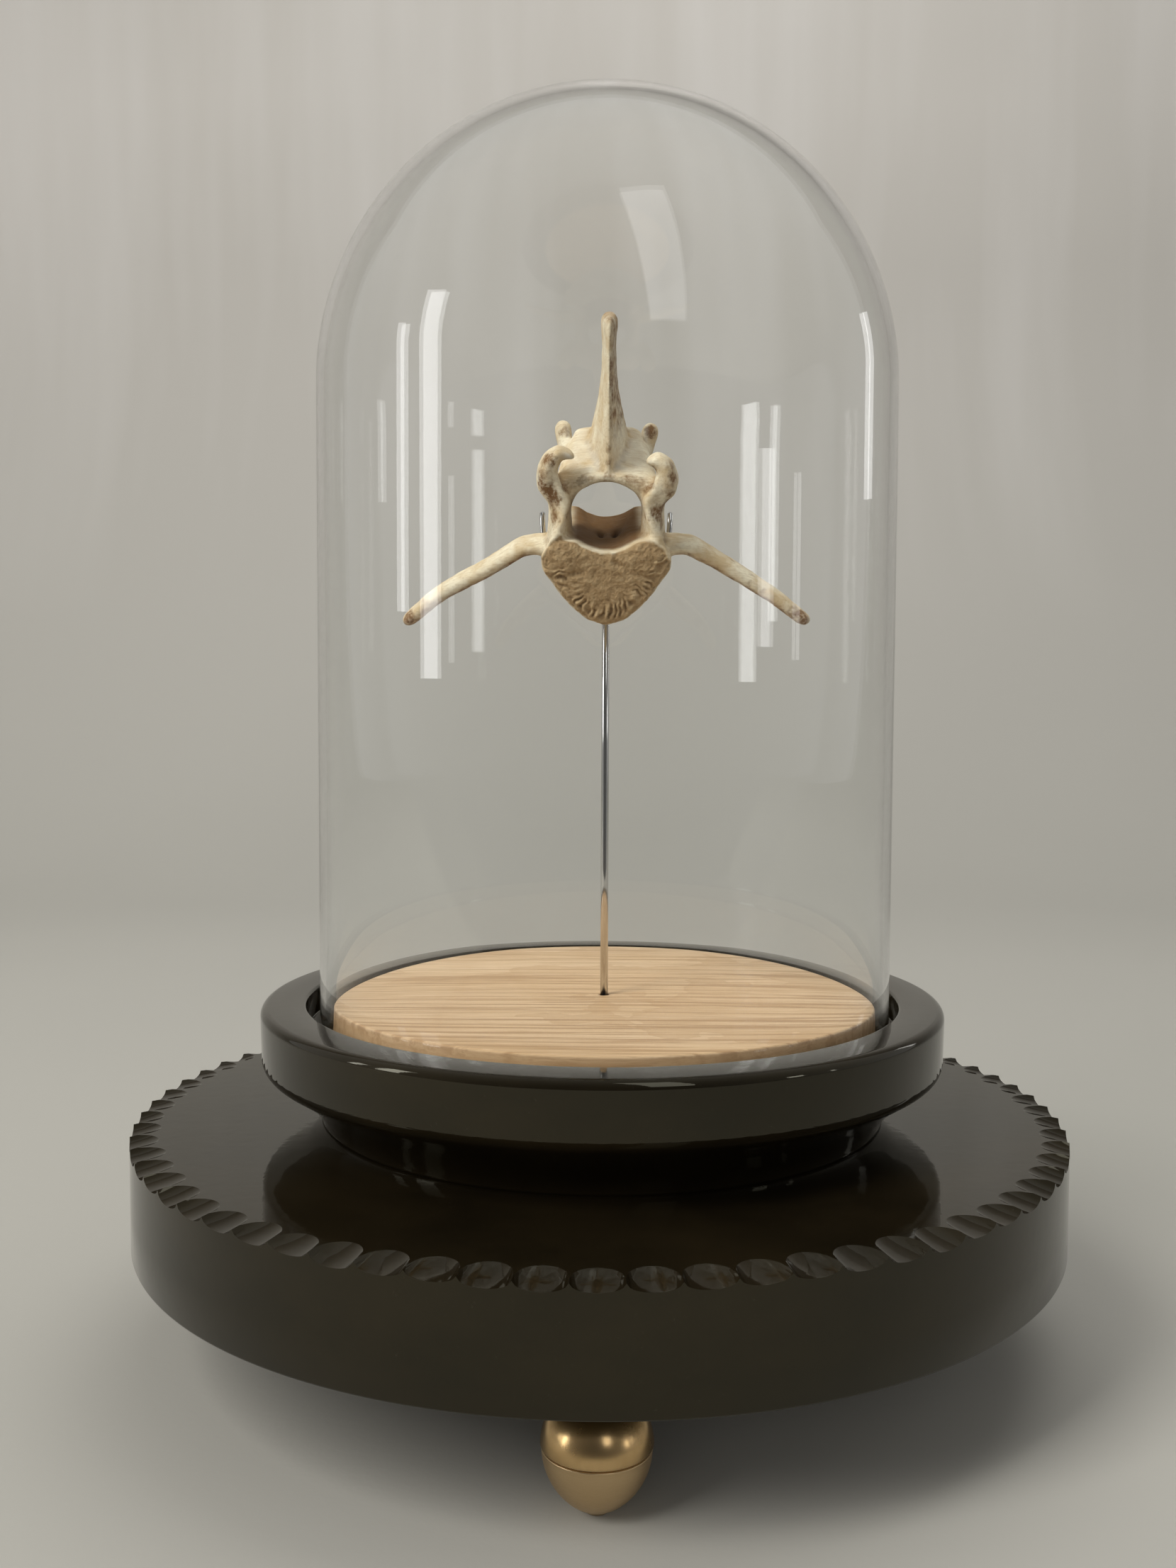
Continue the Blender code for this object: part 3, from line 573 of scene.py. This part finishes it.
def clampedSpline(controls, count):
    degree = 3
    spans = len(controls) - degree
    knots = [0.0] * degree + [i / spans for i in range(spans + 1)] + [1.0] * degree

    def weight(i, k, t):
        if k == 0:
            last = t == 1.0 and knots[i] < t <= knots[i + 1]
            return 1.0 if last or knots[i] <= t < knots[i + 1] else 0.0
        left = right = 0.0
        if knots[i + k] > knots[i]:
            left = (t - knots[i]) / (knots[i + k] - knots[i]) * weight(i, k - 1, t)
        if knots[i + k + 1] > knots[i + 1]:
            right = (knots[i + k + 1] - t) / (knots[i + k + 1] - knots[i + 1]) * weight(i + 1, k - 1, t)
        return left + right

    points = []
    for step in range(count + 1):
        t = step / count
        points.append(sum((Vector(c) * weight(i, degree, t) for i, c in enumerate(controls)), Vector()))
    return points


def sweepBar(bm, points, radii, sides):
    start = (points[1] - points[0]).normalized()
    made = bmesh.ops.create_circle(bm, cap_ends=True, radius=radii[0], segments=sides)
    turn = start.to_track_quat("Z", "Y").to_matrix().to_4x4()
    bmesh.ops.transform(bm, matrix=Matrix.Translation(points[0]) @ turn, verts=made["verts"])
    ring = list({e for v in made["verts"] for e in v.link_edges})
    for i in range(1, len(points)):
        grown = bmesh.ops.extrude_edge_only(bm, edges=ring)["geom"]
        verts = [g for g in grown if isinstance(g, bmesh.types.BMVert)]
        ring = [g for g in grown if isinstance(g, bmesh.types.BMEdge)]
        ahead = points[min(i + 1, len(points) - 1)] - points[i - 1]
        bend = start.rotation_difference(ahead.normalized()).to_matrix().to_4x4()
        size = Matrix.Scale(radii[i] / radii[i - 1], 4)
        place = Matrix.Translation(points[i]) @ bend @ size @ Matrix.Translation(-points[i - 1])
        bmesh.ops.transform(bm, matrix=place, verts=verts)
        start = ahead.normalized()
    bmesh.ops.contextual_create(bm, geom=ring)


def rodAndFork():
    right = list(rodPiece["arm"])
    controls = [(-x, y, z) for x, y, z in reversed(right)] + [(0.0, 0.0, -1.4)] + right
    path = []
    for x, y, z in controls:
        path.append(Vector((x, y, z + rodPiece["forkZ"])) * mm)
    points = clampedSpline(path, rodPiece["armSteps"])
    radius = rodPiece["forkRadius"] * mm
    ends = Vector((0, 0, 0.35 * mm))
    bm = bmesh.new()
    tips = [points[0] + ends] + points + [points[-1] + ends]
    sweepBar(bm, tips, [radius * 0.6] + [radius] * len(points) + [radius * 0.6], rodPiece["armSides"])
    heights = (rodPiece["bottomZ"], 120.0, 150.0, rodPiece["forkZ"] - 0.4, rodPiece["forkZ"])
    stem = [Vector((0, 0, z)) * mm for z in heights]
    wide = rodPiece["radius"] * mm
    sweepBar(bm, stem, [wide, wide, wide, wide, wide * 0.75], rodPiece["sides"])
    moveOver(bm, upperX)
    bmesh.ops.recalc_face_normals(bm, faces=bm.faces)
    finish = Finish("polishedSteel", Metallic=1.0, Roughness=0.12)
    streaks = finish.noise(finish.mapped(scale=(900, 900, 60)), 1.0, 3.0, 0.6)
    tone = finish.mix(finish.range(streaks, 0.3, 0.7, 0.0, 1.0), rodPiece["bright"], rodPiece["dull"])
    finish.feed(finish.shader, {
        "Base Color": tone, "Roughness": finish.range(streaks, 0.3, 0.7, 0.07, 0.18),
        "Normal": finish.bump(streaks, 0.05, 0.00005),
    })
    makePiece("rodAndFork", bm, finish.material, ("rod",))


rodAndFork()
print("stage: rod and fork")

# Wooden disc
discPiece = {
    "radius": 70.3, "bottomZ": 79.3, "topZ": 86.6, "bore": 1.35, "edge": 0.6,
    "colours": {
        "pale": (0.71, 0.52, 0.325), "warm": (0.635, 0.44, 0.25), "ring": (0.50, 0.32, 0.165),
        "line": (0.40, 0.245, 0.12), "fibre": (0.46, 0.295, 0.155), "pore": (0.31, 0.19, 0.095),
        "side": (0.42, 0.26, 0.13),
    },
}


def woodDisc():
    d = discPiece
    profile = [(d["bore"], d["topZ"] - 0.12), (d["bore"] + 0.12, d["topZ"]), (d["bore"] + 0.6, d["topZ"])]
    profile += [(20.0, d["topZ"]), (50.0, d["topZ"])]
    profile += arcPoints(d["radius"] - d["edge"], d["topZ"] - d["edge"], d["edge"], d["edge"], 90, 0, 5)
    profile += arcPoints(d["radius"] - 0.4, d["bottomZ"] + 0.4, 0.4, 0.4, 0, -90, 3)
    profile += [(50.0, d["bottomZ"]), (20.0, d["bottomZ"]), (d["bore"] + 0.6, d["bottomZ"])]
    profile += [(d["bore"], d["bottomZ"]), (d["bore"], d["topZ"] - 0.6)]
    bm = spinProfile([(r * mm, z * mm) for r, z in profile], 160, closed=True)
    moveOver(bm, upperX)
    finish = Finish("paleAsh", Roughness=0.45)
    log = finish.mapped(location=(0.02, 0.012, 0.10), rotation=(0.05, 0.05, 0.045), scale=(1.0, 1.0, 2.6))
    warp = finish.noise(finish.mapped(scale=(10, 60, 40)), 1.0, 3.0, 0.5)
    waves = {"Vector": log, "Scale": 62.0, "Distortion": 5.0}
    waves |= {"Detail": 3.0, "Detail Scale": 0.9, "Detail Roughness": 0.55}
    wave = finish.node("ShaderNodeTexWave", waves, wave_type="RINGS", rings_direction="X", wave_profile="SAW")
    rings = wave.outputs["Fac"]
    lines = finish.noise(finish.mapped(rotation=(0, 0, 0.03), scale=(9, 330, 200)), 1.0, 4.0, 0.7, 0.15)
    fibres = finish.noise(finish.mapped(scale=(38, 900, 900)), 1.0, 4.0, 0.65)
    pores = finish.noise(finish.mapped(scale=(90, 2600, 2600)), 1.0, 2.0, 0.5)
    tint = d["colours"]
    tone = finish.mix(finish.range(warp, 0.3, 0.7, 0.0, 1.0), tint["pale"], tint["warm"])
    tone = finish.mix(finish.range(rings, 0.35, 1.0, 0.0, 0.5), tone, tint["ring"])
    tone = finish.mix(finish.range(lines, 0.49, 0.60, 0.0, 0.85), tone, tint["line"])
    tone = finish.mix(finish.range(fibres, 0.45, 0.75, 0.0, 0.5), tone, tint["fibre"])
    tone = finish.mix(finish.range(pores, 0.6, 0.8, 0.0, 0.7), tone, tint["pore"])
    level = finish.height()
    # painted shade: the disc's side, below its top edge, is darker than the top
    side = finish.range(level, (d["topZ"] - 0.9) * mm, (d["topZ"] - 0.3) * mm, 0.55, 0.0)
    tone = finish.mix(side, tone, tint["side"])
    height = finish.math("SUBTRACT", finish.math("MULTIPLY", fibres, -0.5), pores)
    finish.feed(finish.shader, {
        "Base Color": tone, "Normal": finish.bump(height, 0.25, 0.0002),
        "Roughness": finish.range(fibres, 0.3, 0.7, 0.42, 0.58),
    })
    makePiece("woodDisc", bm, finish.material, ("wood_disc",))


woodDisc()
print("stage: wooden disc")

# Black lacquer, on the dome base and the plinth
lacquer = {
    "roughLow": 0.03, "roughHigh": 0.07, "ior": 1.44, "mirrorTint": (1.0, 0.97, 0.76, 1.0),
    "black": (0.0065, 0.0048, 0.0024), "worn": (0.012, 0.0085, 0.004), "dust": (0.045, 0.04, 0.03),
}


def lacquerFinish(name):
    finish = Finish(name, Roughness=lacquer["roughLow"], IOR=lacquer["ior"])
    finish.feed(finish.shader, {"Specular Tint": lacquer["mirrorTint"]})
    cloud = finish.noise(finish.mapped(scale=(28, 28, 60)), 1.0, 4.0, 0.6)
    ripple = finish.noise(finish.mapped(scale=(260, 260, 260)), 1.0, 3.0, 0.55)
    dust = finish.noise(finish.mapped(scale=(1500, 1500, 1500)), 1.0, 2.0, 0.6)
    tone = finish.mix(finish.range(cloud, 0.35, 0.7, 0.0, 1.0), lacquer["black"], lacquer["worn"])
    tone = finish.mix(finish.range(dust, 0.68, 0.8, 0.0, 0.3), tone, lacquer["dust"])
    finish.feed(finish.shader, {
        "Base Color": tone, "Normal": finish.bump(ripple, 0.12, 0.0002),
        "Roughness": finish.range(cloud, 0.3, 0.7, lacquer["roughLow"], lacquer["roughHigh"]),
    })
    return finish.material


# Dome base
basePiece = {
    "x": 0.7, "radius": 88.9, "bottomZ": 56.3, "topZ": 86.0, "corner": 2.2, "bead": 0.9,
    "dishRadius": 77.3, "dishZ": 79.0, "dishFillet": 0.5, "footRing": 73.6,
    # the cove between the foot ring and the rounded lower edge, as radius past the ring and height
    "cove": ((10.0, 67.8), (6.3, 65.1), (4.1, 63.1), (2.5, 61.2), (1.3, 59.6), (0.5, 58.1), (0.1, 57.0)),
}


def turnedBase():
    b = basePiece
    fillet, bead, corner = b["dishFillet"], b["bead"], b["corner"]
    profile = [(0.0, b["dishZ"]), (40.0, b["dishZ"])]
    profile += arcPoints(b["dishRadius"] - fillet, b["dishZ"] + fillet, fillet, fillet, -90, 0, 3)
    profile += [(b["dishRadius"], b["topZ"] - bead)]
    profile += arcPoints(b["dishRadius"] + bead, b["topZ"] - bead, bead, bead, 180, 90, 4)
    profile += arcPoints(b["radius"] - corner, b["topZ"] - corner, corner, corner, 88, 0, 12)
    profile += arcPoints(b["radius"] - 4.6, b["bottomZ"] + 16.7, 4.4, 3.8, 0, -50, 8)
    profile += [(b["footRing"] + out, z) for out, z in b["cove"]]
    profile += [(b["footRing"], b["bottomZ"]), (0.0, b["bottomZ"])]
    bm = spinProfile([(r * mm, z * mm) for r, z in profile], 192)
    moveOver(bm, b["x"])
    makePiece("turnedBase", bm, lacquerFinish("baseLacquer"), ("dome_base",))


turnedBase()
print("stage: dome base")

# Plinth
plinthPiece = {
    "radius": 120.0, "bottomZ": 29.3, "topZ": 56.3, "scoops": 70, "perScoop": 16, "seed": 70,
    "scoopInset": 7.4, "ridgeInset": 1.7, "scoopDrop": 2.2, "ridgeDrop": 0.3, "reach": 8.0, "sag": 1.2,
}


def carvedPlinth():
    p = plinthPiece
    rng = random.Random(p["seed"])
    cuts = [(rng.uniform(0.86, 1.12), rng.uniform(0.84, 1.14)) for _ in range(p["scoops"])]
    # rows: how far along the scoop's slope each ring lies, 0 at the side and 1 at the top
    slope = [0.0, 0.06, 0.2, 0.4, 0.6, 0.8, 0.94, 1.0]
    radius, bottom = p["radius"], p["bottomZ"]
    profile = [(0.0, bottom), (60.0, bottom), (radius - 0.6, bottom), (radius - 0.15, bottom + 0.2)]
    profile += [(radius, bottom + 0.6), (radius, 40.0), (radius, 50.0)]
    profile += [(p["radius"] - p["reach"] * t, p["topZ"] - 3.0 * (1 - t)) for t in slope]
    profile += [(p["radius"] - 8.9, p["topZ"]), (100.0, p["topZ"]), (60.0, p["topZ"]), (0.0, p["topZ"])]
    bm = spinProfile([(r * mm, z * mm) for r, z in profile], p["scoops"] * p["perScoop"])
    rim = {}
    for vert in bm.verts:
        x, y, z = (c / mm for c in vert.co)
        reach = math.hypot(x, y)
        row = (p["radius"] - reach) / p["reach"]
        if z < p["topZ"] - 3.2 or row > 1.001 or row < -0.001:
            continue
        turn = (math.atan2(y, x) % math.tau) / math.tau * p["scoops"] + 1e-4
        notch = int(turn) % p["scoops"]
        spot = 2.0 * (turn - int(turn)) - 1.0
        inset, drop = cuts[notch]
        depth = math.sqrt(max(0.0, 1.0 - spot * spot))
        inBy = p["ridgeInset"] + (p["scoopInset"] - p["ridgeInset"]) * depth * inset
        downBy = p["ridgeDrop"] + (p["scoopDrop"] - p["ridgeDrop"]) * depth * drop
        # the gouge leaves a slightly hollow slope
        sag = p["sag"] * depth * row * (1.0 - row)
        newReach = p["radius"] - inBy * row - 0.35 * sag
        newZ = p["topZ"] - downBy * (1.0 - row) - 0.6 * sag
        vert.co = Vector((x / reach * newReach, y / reach * newReach, newZ)) * mm
        rim[vert] = (round(row, 2), abs(spot) > 0.98)
    for edge in bm.edges:
        ends = [rim.get(v) for v in edge.verts]
        if None not in ends:
            along = ends[0][0] == ends[1][0] and ends[0][0] in (0.0, 1.0)
            edge.smooth = not (along or (ends[0][1] and ends[1][1]))
    makePiece("carvedPlinth", bm, lacquerFinish("plinthLacquer"), ("plinth",))


carvedPlinth()
print("stage: plinth")

# Feet
footPiece = {
    "circle": 98.0, "height": 29.3, "neck": 6.4, "ball": 11.6, "ballZ": 14.0,
    "bowl": 11.3, "seamZ": 14.0, "flat": 2.3,
    "bright": (0.62, 0.43, 0.21), "tarnish": (0.48, 0.32, 0.145), "satin": (0.60, 0.44, 0.25),
}


def brassFinish():
    finish = Finish("brass", Metallic=1.0, Roughness=0.15)
    height = finish.height()
    seam = footPiece["seamZ"] * mm
    lower = finish.range(height, seam - 0.0001, seam + 0.0005, 1.0, 0.0)
    cloud = finish.noise(finish.mapped(scale=(160, 160, 160)), 1.0, 4.0, 0.6)
    rubs = finish.noise(finish.mapped(scale=(700, 700, 3000)), 1.0, 3.0, 0.6)
    tone = finish.mix(finish.range(cloud, 0.3, 0.7, 0.0, 1.0), footPiece["bright"], footPiece["tarnish"])
    tone = finish.mix(lower, tone, footPiece["satin"])
    polished = finish.range(cloud, 0.3, 0.7, 0.2, 0.3)
    rubbed = finish.range(rubs, 0.3, 0.7, 0.34, 0.5)
    finish.feed(finish.shader, {
        "Base Color": tone, "Roughness": finish.mix(lower, polished, rubbed),
        "Normal": finish.bump(finish.math("MULTIPLY", rubs, lower), 0.2, 0.0001),
    })
    return finish.material


def ballFoot(name, node, angle, material):
    f = footPiece
    waist = f["neck"] - 0.1
    profile = [(0.0, f["height"]), (f["neck"], f["height"]), (waist, 26.0), (waist, 24.4)]
    profile += arcPoints(0.0, f["ballZ"], f["ball"], f["ball"], 56, 3, 18)
    profile += arcPoints(f["ball"] - 0.36, f["seamZ"] + 0.35, 0.34, 0.3, 0, -90, 3)
    profile += [(f["bowl"] - 0.45, f["seamZ"] - 0.02), (f["bowl"] - 0.45, f["seamZ"] - 0.25)]
    profile += arcPoints(f["bowl"] - 0.3, f["seamZ"] - 0.55, 0.36, 0.3, 140, -30, 6)
    height = f["seamZ"] - 0.5
    for i in range(1, 20):
        down = 0.04 + 0.047 * i
        profile.append((f["bowl"] * (1.0 - down * down) ** 0.62, height * (1.0 - down)))
    profile += [(f["flat"], 0.0), (0.0, 0.0)]
    bm = spinProfile([(r * mm, z * mm) for r, z in profile], 96)
    a = math.radians(angle)
    moveOver(bm, f["circle"] * math.cos(a), f["circle"] * math.sin(a))
    makePiece(name, bm, material, (node,))


brassMaterial = brassFinish()
ballFoot("footFront", "foot_front", -90, brassMaterial)
ballFoot("footBackRight", "foot_back_right", 30, brassMaterial)
ballFoot("footBackLeft", "foot_back_left", 150, brassMaterial)
print("stage: feet")

# Glass dome
domePiece = {
    "radius": 74.5, "wall": 2.2, "rimZ": 79.3, "topZ": 317.5,
    "ior": 1.36, "glass": (0.985, 0.99, 0.985, 1.0), "shade": (0.97, 0.975, 0.97, 1.0),
}


def glassCloche():
    d = domePiece
    inner = d["radius"] - d["wall"]
    shoulder = d["topZ"] - d["radius"]
    half = d["wall"] / 2
    profile = arcPoints(0.0, shoulder, d["radius"], d["radius"], 90, 0, 40)
    profile[0] = (0.0, d["topZ"])
    profile += [(d["radius"], z) for z in (200.0, 150.0, 110.0, d["rimZ"] + half + 0.4)]
    profile += arcPoints(d["radius"] - half, d["rimZ"] + half, half, half, 0, -180, 8)
    profile += [(inner, z) for z in (110.0, 150.0, 200.0)]
    profile += arcPoints(0.0, shoulder, inner, inner, 0, 90, 40)
    profile[-1] = (0.0, d["topZ"] - d["wall"])
    bm = spinProfile([(r * mm, z * mm) for r, z in profile], 160)
    moveOver(bm, upperX)
    finish = Finish("clearGlass", Roughness=0.0, IOR=d["ior"])
    finish.feed(finish.shader, {"Transmission Weight": 1.0, "Base Color": d["glass"]})
    wave = finish.noise(finish.mapped(scale=(14, 14, 5)), 1.0, 1.0, 0.4)
    finish.feed(finish.shader, {"Normal": finish.bump(wave, 0.06, 0.002)})
    # the glass lets shadow rays straight through, so that it casts only a faint shadow
    clear = finish.node("ShaderNodeBsdfTransparent", {"Color": d["shade"]})
    shadow = finish.node("ShaderNodeLightPath").outputs["Is Shadow Ray"]
    both = finish.node("ShaderNodeMixShader")
    for index, socket in ((0, shadow), (1, finish.shader.outputs[0]), (2, clear.outputs[0])):
        finish.tree.links.new(socket, both.inputs[index])
    finish.tree.links.new(both.outputs[0], finish.tree.nodes["Material Output"].inputs["Surface"])
    makePiece("glassCloche", bm, finish.material, ("glass_dome",))


glassCloche()
print("stage: glass dome")
